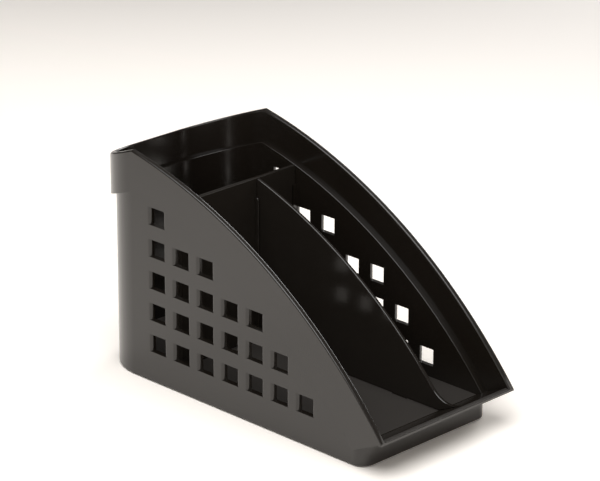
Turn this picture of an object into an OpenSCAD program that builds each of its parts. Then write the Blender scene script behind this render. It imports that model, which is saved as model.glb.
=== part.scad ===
// Desk pen holder: a perforated shell with a stepped rim band, two slide-in dividers and four feet.
// Millimetres. +X to the right, +Y to the rear, +Z up. The origin is under the middle of the part.

/* [Overall] */
// Length from the front lip to the rear of the rim band
length = 180; // [165:1:200]
// Width over the rim band
width = 82; // [70:1:100]
// Height of the two peaks of the rim above the table
height = 106; // [95:1:125]

/* [Rim] */
// Radius of the curved top edge of the side walls
rim_radius = 254; // [220:1:320]
// Height of the front lip's edge above the table
lip_height = 16.3; // [14:0.1:18]
// Distance of the rim's peaks from the rear of the band
peak_inset = 31; // [24:1:40]
// Fall of the rim from the peaks to the rear, in degrees
rear_fall = 20.8; // [10:0.1:26]
// Depth of the rim band on the outside, square to the rim
band_depth = 17.5; // [15.5:0.1:18.5]
// Depth of the ledge on the inside, square to the rim
ledge_depth = 14.2; // [11:0.1:15]
// How far the band stands out from the wall below it
band_step = 2.4; // [1.6:0.1:3]
// Wall of the band
band_wall = 2.8; // [2:0.1:3.6]

/* [Shell] */
// Wall below the band
wall = 2.4; // [1.6:0.1:3]
// Height of the floor's upper face above the lower edge of the shell
floor_level = 8.8; // [7:0.1:11]
// Thickness of the floor
floor_thickness = 2.4; // [1.6:0.1:3]
// Radius of the rear corners, below the band
rear_radius = 26; // [18:0.5:32]
// Radius of the front corners of the base
front_radius = 6; // [4:0.5:10]
// How far the lip reaches over the front of the base
lip_reach = 12; // [9:0.5:14]
// Slope of the lip, in degrees
lip_angle = 25.5; // [20:0.5:30]
// Depth of the level land along the lip's edge
lip_land = 2.5; // [1.5:0.1:4]
// Thickness of the lip
lip_thickness = 1.2; // [0.8:0.1:2]

/* [Holes] */
// Width of a hole, along the wall
hole_width = 7.8; // [6:0.1:10]
// Height of a hole
hole_height = 7.8; // [6:0.1:10]
// Spacing of the holes along the wall
hole_pitch = 15; // [13:0.5:18]
// Spacing of the rows
row_pitch = 14.8; // [12:0.1:18]
// Number of rows
hole_rows = 5; // [3:1:5]
// Height of the lowest row above the lower edge of the shell
hole_base = 17.9; // [16:0.1:22]
// Distance of the rear column from the rear of the shell
hole_inset = 41.5; // [38:0.1:46]
// Least distance from a hole to the rim band
hole_gap = 0.5; // [0.2:0.1:1.2]

/* [Dividers] */
// Thickness of both dividers
divider_thickness = 1.8; // [1.4:0.1:2.4]
// Distance of the cross divider from the rear of the shell
cross_inset = 50.2; // [46:0.1:58]
// Place of the lengthwise divider, right of the middle
lengthwise_offset = 13; // [4:0.5:18]
// Radius of the toe where the lengthwise divider meets the lip
toe_radius = 13; // [9:0.5:14]
// Thickness of the guide ribs
rib_thickness = 0.9; // [0.7:0.1:1.4]
// How far the guide ribs stand out
rib_depth = 2.2; // [1.6:0.1:3]
// How far the guide ribs end below the divider's top edge
rib_drop = 9; // [6:0.5:14]
// Length of a locating tab under the lengthwise divider
tab_length = 8; // [6:0.5:12]
// Distance between the middles of the locating tabs
tab_spacing = 60; // [40:1:70]
// Running clearance of a divider in its guides
slide_gap = 0.3; // [0.2:0.05:0.5]
// Clearance of a divider over the floor
seat_gap = 0.1; // [0.05:0.05:0.3]

/* [Feet] */
// Diameter of a foot
foot_diameter = 9; // [7:0.5:12]
// How far the feet stand out below the shell
foot_proud = 0.6; // [0.4:0.1:1.2]
// Depth of a foot's seat
foot_seat = 1.4; // [1:0.1:2]
// Wall of the boss round a foot
boss_wall = 1.4; // [1:0.1:2]
// Distance of a foot's middle from the sides of the base
foot_side_inset = 12; // [10.5:0.5:16]
// Distance of the front feet's middles from the front of the base
foot_front_inset = 14; // [10.5:0.5:20]
// Distance of the rear feet's middles from the rear of the base
foot_rear_inset = 22; // [20:0.5:30]

/* [Hidden] */
$fn = 96;
plastic = [0.09, 0.09, 0.088];
insert_plastic = [0.12, 0.12, 0.118];
rubber = [0.2, 0.2, 0.2];
reach = 2 * (length + width + height);
through = 1;

// Plan of the shell
band_half = width / 2;
base_half = band_half - band_step;
inner_half = base_half - wall;
front_y = -length / 2;
band_rear = length / 2;
base_front = front_y + lip_reach;
base_rear = band_rear - band_step;
inner_rear = base_rear - wall;

// Levels
shell_z = foot_proud;
floor_z = shell_z + floor_level;
hollow_z = floor_z - floor_thickness;

// The rim's arc runs from the peak to the lip's edge
peak = [band_rear - peak_inset, height];
tip = [front_y, lip_height];
lip_crest = tip + [lip_land, 0];
chord = peak - tip;
chord_mid = (peak + tip) / 2;
arc_depth = sqrt(rim_radius * rim_radius - chord * chord / 4);
arc_centre = chord_mid + arc_depth * [chord.y, -chord.x] / norm(chord);

// Dividers
cross_y = base_rear - cross_inset;
cross_top = arc_height(cross_y, ledge_depth);
half_divider = divider_thickness / 2;
cross_front = cross_y - half_divider;
guide_half = half_divider + slide_gap;
lengthwise_rear = cross_front - slide_gap;
tab_middle = (base_front + cross_front) / 2;

// The toe's arc touches the ledge's arc and the lip
ledge_radius = rim_radius - ledge_depth;
lip_along = [cos(lip_angle), -sin(lip_angle)];
lip_up = [sin(lip_angle), cos(lip_angle)];
toe_start = lip_crest + (toe_radius + seat_gap) * lip_up - arc_centre;
toe_half = toe_start * lip_along;
toe_reach = ledge_radius + toe_radius;
toe_run = -toe_half - sqrt(toe_half * toe_half - toe_start * toe_start + toe_reach * toe_reach);
toe_centre = toe_start + arc_centre + toe_run * lip_along;
toe_on_lip = toe_centre - toe_radius * lip_up;
toe_on_ledge = toe_centre + (arc_centre - toe_centre) * toe_radius / toe_reach;
toe_inside = toe_on_ledge + (arc_centre - toe_centre) * toe_radius / toe_reach;

// Height of the arc at a place y, lowered square to itself
function arc_height(y, drop) =
    arc_centre.y + sqrt(pow(rim_radius - drop, 2) - pow(y - arc_centre.x, 2));

// Distance of a point below the arc
function arc_cover(point) = rim_radius - norm(point - arc_centre);

// Turns a drawing in Y and Z into a slab across X
module across(x_low, x_high) {
    translate([x_low, 0, 0])
        rotate([90, 0, 90])
            linear_extrude(x_high - x_low)
                children();
}

// Side view: what lies under the rim, lowered square to itself
module under_rim(drop) {
    intersection() {
        translate(arc_centre)
            circle(rim_radius - drop, $fn = 360);
        translate(peak)
            rotate(-rear_fall)
                translate([-reach / 2, -reach - drop])
                    square(reach);
    }
}

// Side view: what lies over the lip's slope and land, lowered square to itself
module over_lip(drop) {
    for (slope = [0, lip_angle])
        translate(lip_crest)
            rotate(-slope)
                translate([-reach / 2, -drop])
                    square(reach);
}

// Plan with round corners, wider radii at the rear
module plan(half, front, rear, front_r, rear_r) {
    difference() {
        translate([-half, front])
            square([2 * half, rear - front]);
        for (side = [-1, 1]) {
            corner(side, [side * (half - front_r), front + front_r], -1, front_r);
            corner(side, [side * (half - rear_r), rear - rear_r], 1, rear_r);
        }
    }
}

// What a round corner takes off a square one
module corner(side, centre, way, r) {
    translate(centre)
        mirror([side < 0 ? 1 : 0, 0])
            mirror([0, way < 0 ? 1 : 0])
                difference() {
                    square(r + through);
                    circle(r);
                }
}

// Plan of the space inside the walls, open at the front
module inside_plan(half, rear, rear_r) {
    difference() {
        translate([-half, front_y - through])
            square([2 * half, rear - front_y + through]);
        for (side = [-1, 1])
            corner(side, [side * (half - rear_r), rear - rear_r], 1, rear_r);
    }
}

// Shell below the band
module base_solid() {
    intersection() {
        translate([0, 0, shell_z])
            linear_extrude(height)
                plan(base_half, base_front, base_rear, front_radius, rear_radius);
        across(-base_half - through, base_half + through)
            under_rim(ledge_depth / 2);
    }
}

// Band along the rim, which runs out into the lip at the front
module band_solid() {
    intersection() {
        linear_extrude(height + through)
            band_plan();
        across(-band_half - through, band_half + through)
            intersection() {
                difference() {
                    under_rim(0);
                    under_rim(band_depth);
                }
                over_lip(lip_thickness);
            }
    }
}

// Plan of the band, square at the front
module band_plan() {
    band_radius = rear_radius + band_step;
    difference() {
        translate([-band_half, front_y])
            square([width, length]);
        for (side = [-1, 1])
            corner(side, [side * (band_half - band_radius), band_rear - band_radius], 1, band_radius);
    }
}

// Space inside the walls, over the floor and the lip
module base_space() {
    intersection() {
        translate([0, 0, floor_z])
            linear_extrude(height)
                inside_plan(inner_half, inner_rear, rear_radius - wall);
        across(-band_half, band_half)
            over_lip(0);
    }
}

// Space inside the band, over the ledge and the lip
module band_space() {
    inset_r = rear_radius + band_step - band_wall;
    intersection() {
        linear_extrude(height + through)
            inside_plan(band_half - band_wall, band_rear - band_wall, inset_r);
        across(-band_half, band_half)
            difference() {
                over_lip(0);
                under_rim(ledge_depth);
            }
    }
}

// Hollow under the floor
module under_space() {
    translate([0, 0, shell_z - through])
        linear_extrude(hollow_z - shell_z + through)
            plan(inner_half, base_front + wall, inner_rear, front_radius - wall, rear_radius - wall);
}

// One cut for each pair of holes that clears the band
module holes() {
    columns = floor((base_rear - hole_inset - base_front) / hole_pitch);
    for (row = [0 : hole_rows - 1], column = [0 : columns]) {
        middle = [base_rear - hole_inset - column * hole_pitch, shell_z + hole_base + row * row_pitch];
        corner_cover = arc_cover(middle + [-hole_width, hole_height] / 2);
        if (corner_cover > band_depth + hole_gap)
            translate([0, middle.x, middle.y])
                cube([2 * band_half, hole_width, hole_height], center = true);
    }
}

// Pairs of ribs that guide the cross divider's ends
module wall_ribs() {
    rib_height = cross_top - rib_drop - floor_z;
    for (side = [-1, 1], way = [-1, 1])
        translate([
            side * (inner_half - rib_depth / 2 + through / 2),
            cross_y + way * (guide_half + rib_thickness / 2),
            floor_z - through + (rib_height + through) / 2
        ])
            cube([rib_depth + through, rib_thickness, rib_height + through], center = true);
}

// Place of a locating tab's middle along Y
function tab_place(way) = tab_middle + way * tab_spacing / 2;

// Slots in the floor for the lengthwise divider's tabs
module tab_slots() {
    slot_length = tab_length + 2 * slide_gap;
    for (way = [-1, 1])
        translate([lengthwise_offset - guide_half, tab_place(way) - slot_length / 2, hollow_z - through])
            cube([2 * guide_half, slot_length, floor_thickness + 2 * through]);
}

// Places of the feet
function foot_place(side, way) = [
    side * (base_half - foot_side_inset),
    way < 0 ? base_front + foot_front_inset : base_rear - foot_rear_inset
];

// Bosses that hold the feet, under the floor
module foot_bosses() {
    seat_diameter = foot_diameter + 2 * slide_gap;
    for (side = [-1, 1], way = [-1, 1])
        translate(concat(foot_place(side, way), shell_z))
            difference() {
                cylinder(d = seat_diameter + 2 * boss_wall, h = floor_level - floor_thickness / 2);
                translate([0, 0, -through])
                    cylinder(d = seat_diameter, h = foot_seat + through);
            }
}

// Moulded shell with its band, floor, lip, ribs and bosses
module body() {
    color(plastic) {
        difference() {
            union() {
                base_solid();
                band_solid();
            }
            base_space();
            band_space();
            under_space();
            holes();
            tab_slots();
        }
        wall_ribs();
        foot_bosses();
    }
}

// Panel that closes the pen compartment, with a groove for the lengthwise divider
module cross_divider() {
    panel_half = inner_half - slide_gap;
    panel_z = floor_z + seat_gap;
    color(insert_plastic) {
        translate([-panel_half, cross_front, panel_z])
            cube([2 * panel_half, divider_thickness, cross_top - panel_z]);
        for (way = [-1, 1])
            translate([
                lengthwise_offset + way * (guide_half + rib_thickness / 2) - rib_thickness / 2,
                cross_front - rib_depth,
                panel_z
            ])
                cube([rib_thickness, rib_depth + half_divider, cross_top - rib_drop - panel_z]);
    }
}

// Curved panel that parts the two front compartments
module lengthwise_divider() {
    color(insert_plastic) {
        across(lengthwise_offset - half_divider, lengthwise_offset + half_divider)
            intersection() {
                union() {
                    under_rim(ledge_depth);
                    toe();
                }
                over_lip(-seat_gap);
                translate([front_y, floor_z + seat_gap])
                    square([lengthwise_rear - front_y, height]);
            }
        for (way = [-1, 1])
            translate([lengthwise_offset - half_divider, tab_place(way) - tab_length / 2, hollow_z])
                cube([divider_thickness, tab_length, floor_thickness + seat_gap + through]);
    }
}

// Side view of the toe
module toe() {
    difference() {
        polygon([toe_on_ledge, toe_on_lip, toe_on_lip - toe_radius * lip_up, toe_inside]);
        translate(toe_centre)
            circle(toe_radius);
    }
}

// Soft foot pressed into its boss
module foot(side, way) {
    color(rubber)
        translate(concat(foot_place(side, way), 0))
            cylinder(d = foot_diameter, h = foot_proud + foot_seat);
}

body();
cross_divider();
lengthwise_divider();
foot(-1, -1);  // foot_front_left
foot(1, -1);  // foot_front_right
foot(-1, 1);  // foot_rear_left
foot(1, 1);  // foot_rear_right
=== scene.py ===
"""Studio scene of a desk pen holder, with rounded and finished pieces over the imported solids."""
import math

import bmesh
import bpy
from bpy.props import FloatProperty, FloatVectorProperty, IntProperty, PointerProperty
from bpy.types import Operator, Panel, PropertyGroup
from mathutils import Matrix, Vector
from mathutils.bvhtree import BVHTree


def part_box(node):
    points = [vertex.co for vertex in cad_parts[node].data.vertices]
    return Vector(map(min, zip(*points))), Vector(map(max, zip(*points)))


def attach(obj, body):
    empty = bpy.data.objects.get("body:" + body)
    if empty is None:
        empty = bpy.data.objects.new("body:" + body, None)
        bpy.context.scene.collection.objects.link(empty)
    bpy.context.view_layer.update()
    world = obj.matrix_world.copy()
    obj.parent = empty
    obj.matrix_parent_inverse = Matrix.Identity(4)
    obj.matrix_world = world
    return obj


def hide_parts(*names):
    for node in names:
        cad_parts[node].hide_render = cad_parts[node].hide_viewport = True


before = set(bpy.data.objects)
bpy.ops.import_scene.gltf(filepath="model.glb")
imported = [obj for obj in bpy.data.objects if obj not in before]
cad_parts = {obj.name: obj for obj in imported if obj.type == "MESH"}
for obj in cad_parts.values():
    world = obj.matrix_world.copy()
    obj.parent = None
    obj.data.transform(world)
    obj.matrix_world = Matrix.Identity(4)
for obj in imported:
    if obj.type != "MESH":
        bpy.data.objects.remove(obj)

bl_info = {
    "name": "Desk Pen Holder",
    "version": (1, 0, 0),
    "blender": (4, 5, 0),
    "location": "View3D > Sidebar > Pen Holder",
    "description": "Rounded moulded pieces, finishes and a studio for a desk pen holder",
    "category": "Object",
}

MM = 0.001
UP = Vector((0, 0, 1))
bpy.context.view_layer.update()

# Gaps and angles for joining loose triangles, and the attribute with the normals that they came with
MERGE_GAP = 0.001 * MM
FLAT_ANGLE = math.radians(0.3)
CARRIED_NORMALS = "custom_normal"

# Least angle of an edge that gets a round, and of one that is shaded as a crease
CORNER_ANGLE = math.radians(40)
SHARP_ANGLE = math.radians(38)

# Levels and places taken from the solids, and how far over the trays the lip's land may lie
TRAY_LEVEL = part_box("cross_divider")[0].z
ROUND_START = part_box("cross_divider")[1].y
LIP_RISE = 8 * MM

# Sides of the holes and ends of the ribs are smaller than this, and square to Y or Z
SMALL_FACE = 30 * MM * MM
SQUARE = 0.999

# Share of a face's normal on an axis that still counts as none
FLATNESS = 0.02

# Least share of a face's normal on an axis, for a face that leans, for the rim's top and for a level face
LEAN = 0.1
RIM_RISE = 0.3
LEVEL = 0.95

# Room that a rounded edge needs, in radii, and where along the edge it is looked for
EDGE_ROOM = 1.2
FOOT_ROOM = 0.5
EDGE_SHARES = (0.25, 0.5, 0.75)

# Height of the round at a hole's sill, against the round at its sides
SILL_ROUND = 0.12

# Finishes of the shell and of a divider, in the order of their material slots
WALL, TRAY = range(2)
PANEL, EDGE = range(2)

# Slow drifts of tone and of sheen over the plastic, and its fine grain
DRIFT_SCALE = 45
DRIFT_DETAIL = 3
TONE_DRIFT = 0.08
SHEEN_DRIFT = 0.05
GRAIN_DETAIL = 2
GRAIN_STRENGTH = 0.5

# How far round the low sky goes from dark to bright, as the cosine of the angle from its bearing
SKY_DARK_SIDE = -0.2
SKY_LIGHT_SIDE = 0.6

FEET = ("foot_front_left", "foot_front_right", "foot_rear_left", "foot_rear_right")


class EdgeSizes(PropertyGroup):
    """Radii of the moulded edges."""

    rim_outer: FloatProperty(
        name="Rim outside", description="Radius of the rim's outer edge", unit="LENGTH",
        default=0.75 * MM
    )
    rim_inner: FloatProperty(
        name="Rim inside", description="Radius of the rim's inner edge", unit="LENGTH",
        default=0.8 * MM
    )
    hole: FloatProperty(
        name="Holes", description="Radius of a hole's outer edges", unit="LENGTH",
        default=1.6 * MM
    )
    general: FloatProperty(
        name="Other edges", description="Radius of the other outer edges", unit="LENGTH",
        default=0.3 * MM
    )
    divider_top: FloatProperty(
        name="Divider top", description="Radius of a divider's top edges", unit="LENGTH",
        default=0.55 * MM
    )
    foot: FloatProperty(
        name="Foot", description="Radius of a foot's edges", unit="LENGTH",
        default=0.4 * MM
    )
    steps: IntProperty(name="Steps", description="Faces across a rounded edge", default=3, min=2, max=6)


class Finishes(PropertyGroup):
    """Colours and surface finish of the moulded pieces."""

    wall_colour: FloatVectorProperty(
        name="Walls", description="Plastic of the walls", subtype="COLOR",
        default=(0.0115, 0.009, 0.0068)
    )
    divider_colour: FloatVectorProperty(
        name="Dividers", description="Plastic of the dividers", subtype="COLOR",
        default=(0.0166, 0.0138, 0.0112)
    )
    tray_colour: FloatVectorProperty(
        name="Trays", description="Plastic of the tray floor", subtype="COLOR",
        default=(0.029, 0.0248, 0.0212)
    )
    foot_colour: FloatVectorProperty(
        name="Feet", description="Rubber of the feet", subtype="COLOR",
        default=(0.03, 0.03, 0.03)
    )
    wall_roughness: FloatProperty(
        name="Wall roughness", description="Satin of the walls", default=0.21, min=0, max=1
    )
    divider_roughness: FloatProperty(
        name="Divider roughness", description="Sheen of the dividers", default=0.10, min=0, max=1
    )
    tray_roughness: FloatProperty(
        name="Tray roughness", description="Matt of the tray floor", default=0.55, min=0, max=1
    )
    foot_roughness: FloatProperty(
        name="Foot roughness", description="Matt of the feet", default=0.8, min=0, max=1
    )
    wall_gloss: FloatProperty(
        name="Wall gloss", description="Strength of the walls' reflections", min=0, max=1,
        default=0.5
    )
    divider_gloss: FloatProperty(
        name="Divider gloss", description="Strength of the dividers' reflections", min=0, max=1,
        default=0.13
    )
    refraction: FloatProperty(
        name="Refraction", description="Refractive index of the plastic", default=1.59, min=1, max=2
    )
    grain_size: FloatProperty(
        name="Grain size", description="Size of the moulded grain", default=0.45 * MM, unit="LENGTH"
    )
    grain_depth: FloatProperty(
        name="Grain depth", description="Depth of the moulded grain", default=0.012 * MM, unit="LENGTH"
    )


class Studio(PropertyGroup):
    """Floor, light and camera."""

    floor_colour: FloatVectorProperty(
        name="Floor", description="Colour of the floor", subtype="COLOR",
        default=(0.95, 0.905, 0.855)
    )
    # Painted shade on the floor: this far colour, the bearing and the two distances below set how the
    # floor's colour darkens behind, standing in for light that fades into the distance
    floor_painted_shade: FloatVectorProperty(
        name="Far floor", description="Colour of the floor behind", subtype="COLOR",
        default=(0.4, 0.383, 0.368)
    )
    floor_bearing: FloatProperty(
        name="Floor bearing", subtype="ANGLE", default=math.radians(76),
        description="Bearing away from which the floor darkens, from the front towards the left"
    )
    floor_near: FloatProperty(
        name="Far starts", description="How far behind the floor begins to darken", unit="LENGTH",
        default=0.14
    )
    floor_far: FloatProperty(
        name="Far from", description="How far behind the floor is darkest", default=0.71, unit="LENGTH"
    )
    floor_glow: FloatProperty(
        name="Floor glow", default=1.34,
        description="How much paler the floor looks than the light that it gives"
    )
    floor_size: FloatProperty(
        name="Floor size", description="Width of the floor", default=6.0, unit="LENGTH"
    )
    sky_colour: FloatVectorProperty(
        name="Sky", description="Colour of the sky's light", subtype="COLOR",
        default=(1.0, 0.97, 0.93)
    )
    sky_low: FloatProperty(
        name="Low sky", description="Strength of the bright sky near the floor", min=0,
        default=1.3
    )
    sky_high: FloatProperty(
        name="High sky", description="Strength of the sky overhead and on the dark side", min=0,
        default=0.15
    )
    sky_start: FloatProperty(
        name="Sky fades from", description="Angle over the floor where the low sky begins to fade",
        subtype="ANGLE", default=math.radians(12)
    )
    sky_end: FloatProperty(
        name="Sky fades to", description="Angle over the floor where the low sky has faded",
        subtype="ANGLE", default=math.radians(36)
    )
    sky_bearing: FloatProperty(
        name="Sky bearing", description="Bearing of the bright low sky, from the front towards the left",
        subtype="ANGLE", default=math.radians(14)
    )
    lamp_distance: FloatProperty(
        name="Lamp distance", description="Distance of the lamps from the middle of the floor",
        unit="LENGTH", default=0.9
    )
    key_power: FloatProperty(
        name="Key", description="Watts of the lamp overhead", default=8.0, min=0
    )
    key_size: FloatProperty(
        name="Key size", description="Diameter of the lamp overhead", default=1.0, unit="LENGTH"
    )
    key_height: FloatProperty(
        name="Key height", description="Angle of the lamp overhead over the floor", subtype="ANGLE",
        default=math.radians(71)
    )
    key_bearing: FloatProperty(
        name="Key bearing", description="Bearing of the lamp overhead, from the front towards the left",
        subtype="ANGLE", default=math.radians(73)
    )
    side_power: FloatProperty(
        name="Side", description="Watts of the lamp on the right", default=4.0, min=0
    )
    side_size: FloatProperty(
        name="Side size", description="Diameter of the lamp on the right", default=0.6, unit="LENGTH"
    )
    side_height: FloatProperty(
        name="Side height", description="Angle of the lamp on the right over the floor", subtype="ANGLE",
        default=math.radians(21)
    )
    side_bearing: FloatProperty(
        name="Side bearing", subtype="ANGLE", default=math.radians(-102),
        description="Bearing of the lamp on the right, from the front towards the left"
    )
    aim: FloatVectorProperty(
        name="Aim", description="Point at the middle of the picture", subtype="XYZ", unit="LENGTH",
        default=(-22.8 * MM, -25.1 * MM, 82.6 * MM)
    )
    distance: FloatProperty(
        name="Distance", description="Distance of the camera", default=1273.8 * MM, unit="LENGTH"
    )
    bearing: FloatProperty(
        name="Bearing", description="Bearing of the camera, from the front towards the left",
        subtype="ANGLE", default=math.radians(45.25)
    )
    height: FloatProperty(
        name="Height", description="Angle of the camera over the floor", subtype="ANGLE",
        default=math.radians(20.88)
    )
    roll: FloatProperty(
        name="Roll", description="Turn of the camera about its view", subtype="ANGLE",
        default=math.radians(0.225)
    )
    lens: FloatProperty(name="Lens", description="Focal length in millimetres", default=183.6)


def direction(bearing, height):
    """The way to a point at a bearing from the front towards the left, and at an angle over the floor."""
    flat = math.cos(height)
    return Vector((-math.sin(bearing) * flat, -math.cos(bearing) * flat, math.sin(height)))


# Meshes


def merged_copy(node):
    """A copy of a solid's mesh, with its loose triangles joined into whole faces."""
    work = bmesh.new()
    work.from_mesh(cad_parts[node].data)
    bmesh.ops.remove_doubles(work, verts=work.verts[:], dist=MERGE_GAP)
    bmesh.ops.dissolve_limit(work, angle_limit=FLAT_ANGLE, verts=work.verts[:], edges=work.edges[:])
    return work


def is_corner(edge):
    """True for an edge that stands out, between two faces that meet at an angle."""
    return edge.is_manifold and edge.is_convex and edge.calc_face_angle() > CORNER_ANGLE


def is_crowded(edge, tree, faces, reach):
    """True for an edge that has another wall within reach, so that it stays sharp."""
    own = set(edge.verts)
    start, end = (v.co for v in edge.verts)
    for share in EDGE_SHARES:
        for _, _, index, _ in tree.find_nearest_range(start.lerp(end, share), reach):
            if not own & set(faces[index].verts):
                return True
    return False


def free_corners(work, reach):
    """The corner edges of a mesh that have room for a radius."""
    work.faces.ensure_lookup_table()
    tree = BVHTree.FromBMesh(work)
    return [
        e for e in work.edges
        if is_corner(e) and not stays_sharp(e) and not is_crowded(e, tree, work.faces, reach)
    ]


def round_edges(work, edges, radius, steps):
    """Gives edges a round of one radius."""
    return bmesh.ops.bevel(
        work, geom=edges, offset=radius, offset_type="OFFSET", segments=steps, profile=0.5,
        affect="EDGES", clamp_overlap=False, material=-1
    )


def faces_out(face):
    """True for a face of the shell that looks away from the space inside it."""
    middle = face.calc_center_median()
    from_axis = Vector((middle.x, max(0.0, middle.y - ROUND_START), 0.0))
    return face.normal.dot(from_axis) > 0


def is_rim(face):
    """True for a face along the top of the rim: it slopes in Y and meets an outer wall."""
    normal = face.normal
    slopes = abs(normal.x) < FLATNESS and abs(normal.y) > LEAN and normal.z > RIM_RISE
    walls = [f for e in face.edges if is_corner(e) for f in e.link_faces if f is not face]
    return slopes and any(abs(f.normal.z) < LEAN and faces_out(f) for f in walls)


def is_square_cut(face):
    """True for a small face that is square to Y or Z: a side of a hole or the end of a rib."""
    return face.calc_area() < SMALL_FACE and max(abs(face.normal.y), abs(face.normal.z)) > SQUARE


def is_upright(edge):
    """True for an edge that runs up and down."""
    start, end = (v.co for v in edge.verts)
    return abs((end - start).normalized().z) > SQUARE


def stays_sharp(edge):
    """True for an upright edge, one beside a hole or a rib's end, and one under the band."""
    over_tray = min(v.co.z for v in edge.verts) > TRAY_LEVEL
    under = over_tray and any(f.normal.z < -LEAN for f in edge.link_faces)
    return is_upright(edge) or under or any(map(is_square_cut, edge.link_faces))


def hole_edges(work):
    """The outer edges of the holes."""
    return [
        e for e in work.edges
        if is_corner(e) and any(map(is_square_cut, e.link_faces)) and any(
            abs(f.normal.x) > SQUARE and faces_out(f) for f in e.link_faces
        )
    ]


def round_holes(work, radius, steps):
    """Rounds the outer edges of the holes, and draws the rounds over and under each one close to it."""
    edges = hole_edges(work)
    rows = {tuple(sorted(v.co.z for v in e.verts)) for e in edges if is_upright(e)}
    rounds = round_edges(work, edges, radius, steps)
    for vert in rounds["verts"]:
        sill, top = min(rows, key=lambda row: abs(sum(row) / 2 - vert.co.z))
        level = min(max(vert.co.z, sill), top)
        vert.co.z = level + SILL_ROUND * (vert.co.z - level)


def rim_edges(work, outer):
    """The edges along the top of the rim, on its outer or its inner side."""
    rim = {f for f in work.faces if is_rim(f)}
    return [
        e for e in work.edges
        if is_corner(e) and rim & set(e.link_faces)
        and outer == any(f not in rim and faces_out(f) for f in e.link_faces)
    ]


def top_edges(work):
    """The edges of a divider's upper faces, without their short ends."""
    upper = {f for f in work.faces if f.normal.z > LEAN and f.calc_center_median().z > TRAY_LEVEL}
    return [
        e for e in work.edges
        if is_corner(e) and len(upper & set(e.link_faces)) == 1 and any(
            abs(f.normal.z) < FLATNESS for f in e.link_faces
        )
    ]


def round_top(work, radius, steps):
    """Rounds a divider's top edges, and keeps the rounds at its thin toe over the face on the lip."""
    leaning = [f for f in work.faces if -SQUARE < f.normal.z < -LEAN]
    under = [(f.normal.copy(), f.verts[0].co.copy()) for f in leaning]
    rounds = round_edges(work, top_edges(work), radius, steps)
    for normal, place in under:
        for vert in rounds["verts"]:
            vert.co -= max(0.0, normal.dot(vert.co - place)) * normal
    work.normal_update()


def shell_finish(face):
    """Which finish a face of the shell has."""
    low = face.calc_center_median().z < TRAY_LEVEL + LIP_RISE
    return TRAY if low and face.normal.z > LEVEL and not is_square_cut(face) else WALL


def make_piece(name, work, materials, body, node):
    """Turns a finished bmesh into a piece that stands for a solid."""
    mesh = bpy.data.meshes.new(name)
    bmesh.ops.dissolve_degenerate(work, dist=MERGE_GAP, edges=work.edges[:])
    for face in work.faces:
        face.smooth = True
    work.to_mesh(mesh)
    work.free()
    for material in materials:
        mesh.materials.append(material)
    if CARRIED_NORMALS in mesh.attributes:
        mesh.attributes.remove(mesh.attributes[CARRIED_NORMALS])
    mesh.set_sharp_from_angle(angle=SHARP_ANGLE)
    piece = bpy.data.objects.new(name, mesh)
    bpy.context.scene.collection.objects.link(piece)
    normals = piece.modifiers.new("Even flats", "WEIGHTED_NORMAL")
    normals.keep_sharp = True
    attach(piece, body)
    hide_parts(node)
    return piece


# Shader nodes and materials


def along(nodes, links, vector, way):
    """How far a vector goes in one way."""
    product = nodes.new("ShaderNodeVectorMath")
    product.operation = "DOT_PRODUCT"
    product.inputs[1].default_value = way
    links.new(vector, product.inputs[0])
    return product.outputs["Value"]


def fade(nodes, links, value, start, end):
    """Goes smoothly from 0 to 1 as a value goes from start to end."""
    ramp = nodes.new("ShaderNodeMapRange")
    ramp.interpolation_type = "SMOOTHSTEP"
    ramp.inputs["From Min"].default_value = start
    ramp.inputs["From Max"].default_value = end
    links.new(value, ramp.inputs["Value"])
    return ramp.outputs["Result"]


def spread(nodes, links, share, low, high):
    """Goes evenly from low to high as a share goes from 0 to 1."""
    ramp = nodes.new("ShaderNodeMapRange")
    ramp.inputs["To Min"].default_value = low
    ramp.inputs["To Max"].default_value = high
    links.new(share, ramp.inputs["Value"])
    return ramp.outputs["Result"]


def combine(nodes, links, operation, first, second):
    """One number made from two."""
    both = nodes.new("ShaderNodeMath")
    both.operation = operation
    links.new(first, both.inputs[0])
    links.new(second, both.inputs[1])
    return both.outputs["Value"]


def blend(nodes, links, share, first, last):
    """Goes from one colour to another as a share goes from 0 to 1."""
    mix = nodes.new("ShaderNodeMix")
    mix.data_type = "RGBA"
    mix.inputs["A"].default_value = (*first, 1)
    mix.inputs["B"].default_value = (*last, 1)
    links.new(share, mix.inputs["Factor"])
    return mix.outputs["Result"]


def noise(nodes, links, place, scale, detail):
    """A cloudy pattern fixed to the piece."""
    pattern = nodes.new("ShaderNodeTexNoise")
    pattern.inputs["Scale"].default_value = scale
    pattern.inputs["Detail"].default_value = detail
    links.new(place, pattern.inputs["Vector"])
    return pattern.outputs["Fac"]


def moulded_plastic(name, colour, roughness, gloss):
    """Satin moulded plastic: a fine grain, with slow drifts of tone and of sheen."""
    finish = bpy.context.scene.pen_holder_finishes
    material = bpy.data.materials.new(name)
    material.use_nodes = True
    nodes, links = material.node_tree.nodes, material.node_tree.links
    shader = nodes["Principled BSDF"]
    shader.inputs["IOR"].default_value = finish.refraction
    shader.inputs["Specular IOR Level"].default_value = gloss
    place = nodes.new("ShaderNodeTexCoord").outputs["Object"]

    drift = noise(nodes, links, place, DRIFT_SCALE, DRIFT_DETAIL)
    dark, light = ([(1 + way * TONE_DRIFT) * c for c in colour] for way in (-1, 1))
    links.new(blend(nodes, links, drift, dark, light), shader.inputs["Base Color"])
    sheen = spread(nodes, links, drift, roughness - SHEEN_DRIFT, roughness + SHEEN_DRIFT)
    links.new(sheen, shader.inputs["Roughness"])

    bump = nodes.new("ShaderNodeBump")
    bump.inputs["Strength"].default_value = GRAIN_STRENGTH
    bump.inputs["Distance"].default_value = finish.grain_depth
    links.new(noise(nodes, links, place, 1 / finish.grain_size, GRAIN_DETAIL), bump.inputs["Height"])
    links.new(bump.outputs["Normal"], shader.inputs["Normal"])
    return material


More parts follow.
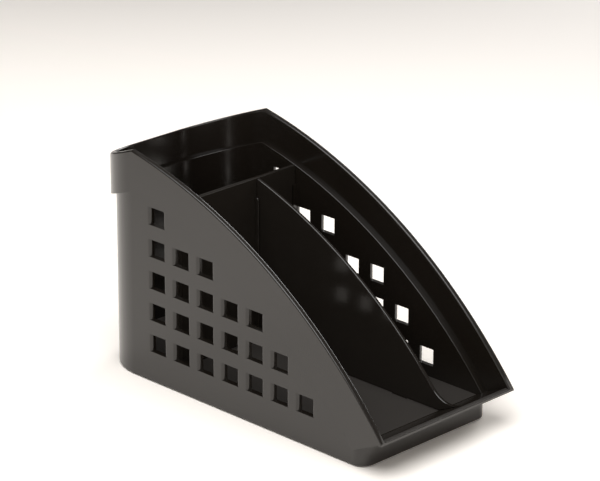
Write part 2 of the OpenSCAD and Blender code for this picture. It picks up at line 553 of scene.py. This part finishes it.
# Operators


class BuildShell(Operator):
    """Make the shell with its rounded rim, edges and finishes."""

    bl_idname = "pen_holder.build_shell"
    bl_label = "Build Shell"

    def execute(self, context):
        sizes = context.scene.pen_holder_edges
        finish = context.scene.pen_holder_finishes
        work = merged_copy("body")
        for face in work.faces:
            face.material_index = shell_finish(face)
        round_holes(work, sizes.hole, sizes.steps)
        round_edges(work, rim_edges(work, outer=False), sizes.rim_inner, sizes.steps)
        round_edges(work, rim_edges(work, outer=True), sizes.rim_outer, sizes.steps)
        round_edges(work, free_corners(work, EDGE_ROOM * sizes.general), sizes.general, sizes.steps)
        gloss = finish.wall_gloss
        materials = [
            moulded_plastic("wall_plastic", finish.wall_colour, finish.wall_roughness, gloss),
            moulded_plastic("tray_plastic", finish.tray_colour, finish.tray_roughness, gloss),
        ]
        make_piece("shell", work, materials, "shell", "body")
        return {"FINISHED"}


class BuildDividers(Operator):
    """Make the two dividers with rounded top edges."""

    bl_idname = "pen_holder.build_dividers"
    bl_label = "Build Dividers"

    def execute(self, context):
        sizes = context.scene.pen_holder_edges
        finish = context.scene.pen_holder_finishes
        roughness = finish.divider_roughness
        materials = [
            moulded_plastic("panel_plastic", finish.divider_colour, roughness, finish.divider_gloss),
            moulded_plastic("edge_plastic", finish.wall_colour, roughness, finish.wall_gloss),
        ]
        for node, body in (("cross_divider", "cross"), ("lengthwise_divider", "lengthwise")):
            work = merged_copy(node)
            round_top(work, sizes.divider_top, sizes.steps)
            for face in work.faces:
                face.material_index = EDGE if face.normal.z > LEAN else PANEL
            round_edges(work, free_corners(work, EDGE_ROOM * sizes.general), sizes.general, sizes.steps)
            make_piece(body + "_panel", work, materials, body, node)
        return {"FINISHED"}


class BuildFeet(Operator):
    """Make the soft feet with rounded edges."""

    bl_idname = "pen_holder.build_feet"
    bl_label = "Build Feet"

    def execute(self, context):
        sizes = context.scene.pen_holder_edges
        finish = context.scene.pen_holder_finishes
        roughness, gloss = finish.foot_roughness, finish.wall_gloss
        rubber = moulded_plastic("foot_rubber", finish.foot_colour, roughness, gloss)
        for node in FEET:
            work = merged_copy(node)
            round_edges(work, free_corners(work, FOOT_ROOM * sizes.foot), sizes.foot, sizes.steps)
            make_piece("soft_" + node, work, [rubber], "shell", node)
        return {"FINISHED"}


class BuildStudio(Operator):
    """Make the floor, the lights and the camera."""

    bl_idname = "pen_holder.build_studio"
    bl_label = "Build Studio"

    def execute(self, context):
        scene = context.scene
        settings = scene.pen_holder_studio
        scene.view_settings.view_transform = "Standard"
        self.floor(scene, settings)
        self.sky(scene, settings)
        key_place = settings.lamp_distance * direction(settings.key_bearing, settings.key_height)
        side_place = settings.lamp_distance * direction(settings.side_bearing, settings.side_height)
        self.lamp(scene, "key_lamp", settings.key_power, settings.key_size, key_place)
        self.lamp(scene, "side_lamp", settings.side_power, settings.side_size, side_place)
        self.camera(scene, settings)
        return {"FINISHED"}

    def floor(self, scene, settings):
        """A pale floor, with painted shade that darkens its colour into the distance."""
        work = bmesh.new()
        bmesh.ops.create_grid(work, x_segments=1, y_segments=1, size=settings.floor_size / 2)
        mesh = bpy.data.meshes.new("studio_floor")
        work.to_mesh(mesh)
        work.free()
        paint = bpy.data.materials.new("pale_floor")
        paint.use_nodes = True
        nodes, links = paint.node_tree.nodes, paint.node_tree.links
        nodes.remove(nodes["Principled BSDF"])
        shader = nodes.new("ShaderNodeBsdfDiffuse")
        links.new(shader.outputs["BSDF"], nodes["Material Output"].inputs["Surface"])
        place = nodes.new("ShaderNodeTexCoord").outputs["Object"]
        # Painted shade: the floor's colour turns from the near colour to the darker far one, away from
        # the floor bearing
        depth = along(nodes, links, place, -direction(settings.floor_bearing, 0))
        share = fade(nodes, links, depth, settings.floor_near, settings.floor_far)
        tone = blend(nodes, links, share, settings.floor_colour, settings.floor_painted_shade)
        glow = nodes.new("ShaderNodeVectorMath")
        glow.operation = "SCALE"
        links.new(tone, glow.inputs[0])
        links.new(self.seen_scale(nodes, links, settings.floor_glow), glow.inputs["Scale"])
        links.new(glow.outputs["Vector"], shader.inputs["Color"])
        mesh.materials.append(paint)
        floor = bpy.data.objects.new("studio_floor", mesh)
        scene.collection.objects.link(floor)

    def seen_scale(self, nodes, links, glow):
        """One for light that goes on to the object, and the glow for what is seen or mirrored."""
        path = nodes.new("ShaderNodeLightPath")
        seen = path.outputs["Is Camera Ray"]
        for kind in ("Is Glossy Ray", "Is Transmission Ray"):
            seen = combine(nodes, links, "MAXIMUM", seen, path.outputs[kind])
        return spread(nodes, links, seen, 1, glow)

    def sky(self, scene, settings):
        """A sky that is bright near the floor on one side, and dim overhead."""
        world = bpy.data.worlds.new("studio_sky")
        world.use_nodes = True
        scene.world = world
        nodes, links = world.node_tree.nodes, world.node_tree.links
        way = nodes.new("ShaderNodeTexCoord").outputs["Generated"]
        up = along(nodes, links, way, UP)
        low = fade(nodes, links, up, math.sin(settings.sky_end), math.sin(settings.sky_start))
        around = along(nodes, links, way, direction(settings.sky_bearing, 0))
        side = fade(nodes, links, around, SKY_DARK_SIDE, SKY_LIGHT_SIDE)
        share = combine(nodes, links, "MULTIPLY", low, side)
        strength = spread(nodes, links, share, settings.sky_high, settings.sky_low)
        background = nodes["Background"]
        background.inputs["Color"].default_value = (*settings.sky_colour, 1)
        links.new(strength, background.inputs["Strength"])

    def lamp(self, scene, name, power, size, place):
        """A round lamp that looks at the middle of the floor."""
        data = bpy.data.lights.new(name, "AREA")
        data.shape = "DISK"
        data.energy = power
        data.size = size
        lamp = bpy.data.objects.new(name, data)
        lamp.rotation_mode = "QUATERNION"
        lamp.rotation_quaternion = place.to_track_quat("Z", "Y")
        lamp.location = place
        lamp.visible_camera = False
        scene.collection.objects.link(lamp)

    def camera(self, scene, settings):
        """The camera that sees the object as the picture does."""
        data = bpy.data.cameras.new("studio_camera")
        data.lens = settings.lens
        camera = bpy.data.objects.new("studio_camera", data)
        back = direction(settings.bearing, settings.height)
        camera.rotation_mode = "QUATERNION"
        level = back.to_track_quat("Z", "Y")
        camera.rotation_quaternion = level @ Matrix.Rotation(settings.roll, 3, "Z").to_quaternion()
        camera.location = Vector(settings.aim) + back * settings.distance
        scene.collection.objects.link(camera)
        scene.camera = camera


class PenHolderPanel(Panel):
    """Lists the steps that make the pen holder."""

    bl_idname = "VIEW3D_PT_pen_holder"
    bl_label = "Pen Holder"
    bl_space_type = "VIEW_3D"
    bl_region_type = "UI"
    bl_category = "Pen Holder"

    def draw(self, context):
        for step in STEPS:
            self.layout.operator(step.bl_idname)


STEPS = (BuildStudio, BuildShell, BuildDividers, BuildFeet)
GROUPS = {"pen_holder_edges": EdgeSizes, "pen_holder_finishes": Finishes, "pen_holder_studio": Studio}
CLASSES = (*GROUPS.values(), *STEPS, PenHolderPanel)


def register():
    """Adds the classes and the settings to Blender."""
    for cls in CLASSES:
        bpy.utils.register_class(cls)
    for name, group in GROUPS.items():
        setattr(bpy.types.Scene, name, PointerProperty(type=group))


def unregister():
    """Takes the settings and the classes out of Blender."""
    for name in GROUPS:
        delattr(bpy.types.Scene, name)
    for cls in reversed(CLASSES):
        bpy.utils.unregister_class(cls)


def main():
    """Builds the scene."""
    register()
    bpy.ops.pen_holder.build_studio()
    bpy.ops.pen_holder.build_shell()
    bpy.ops.pen_holder.build_dividers()
    bpy.ops.pen_holder.build_feet()


if __name__ == "__main__":
    main()
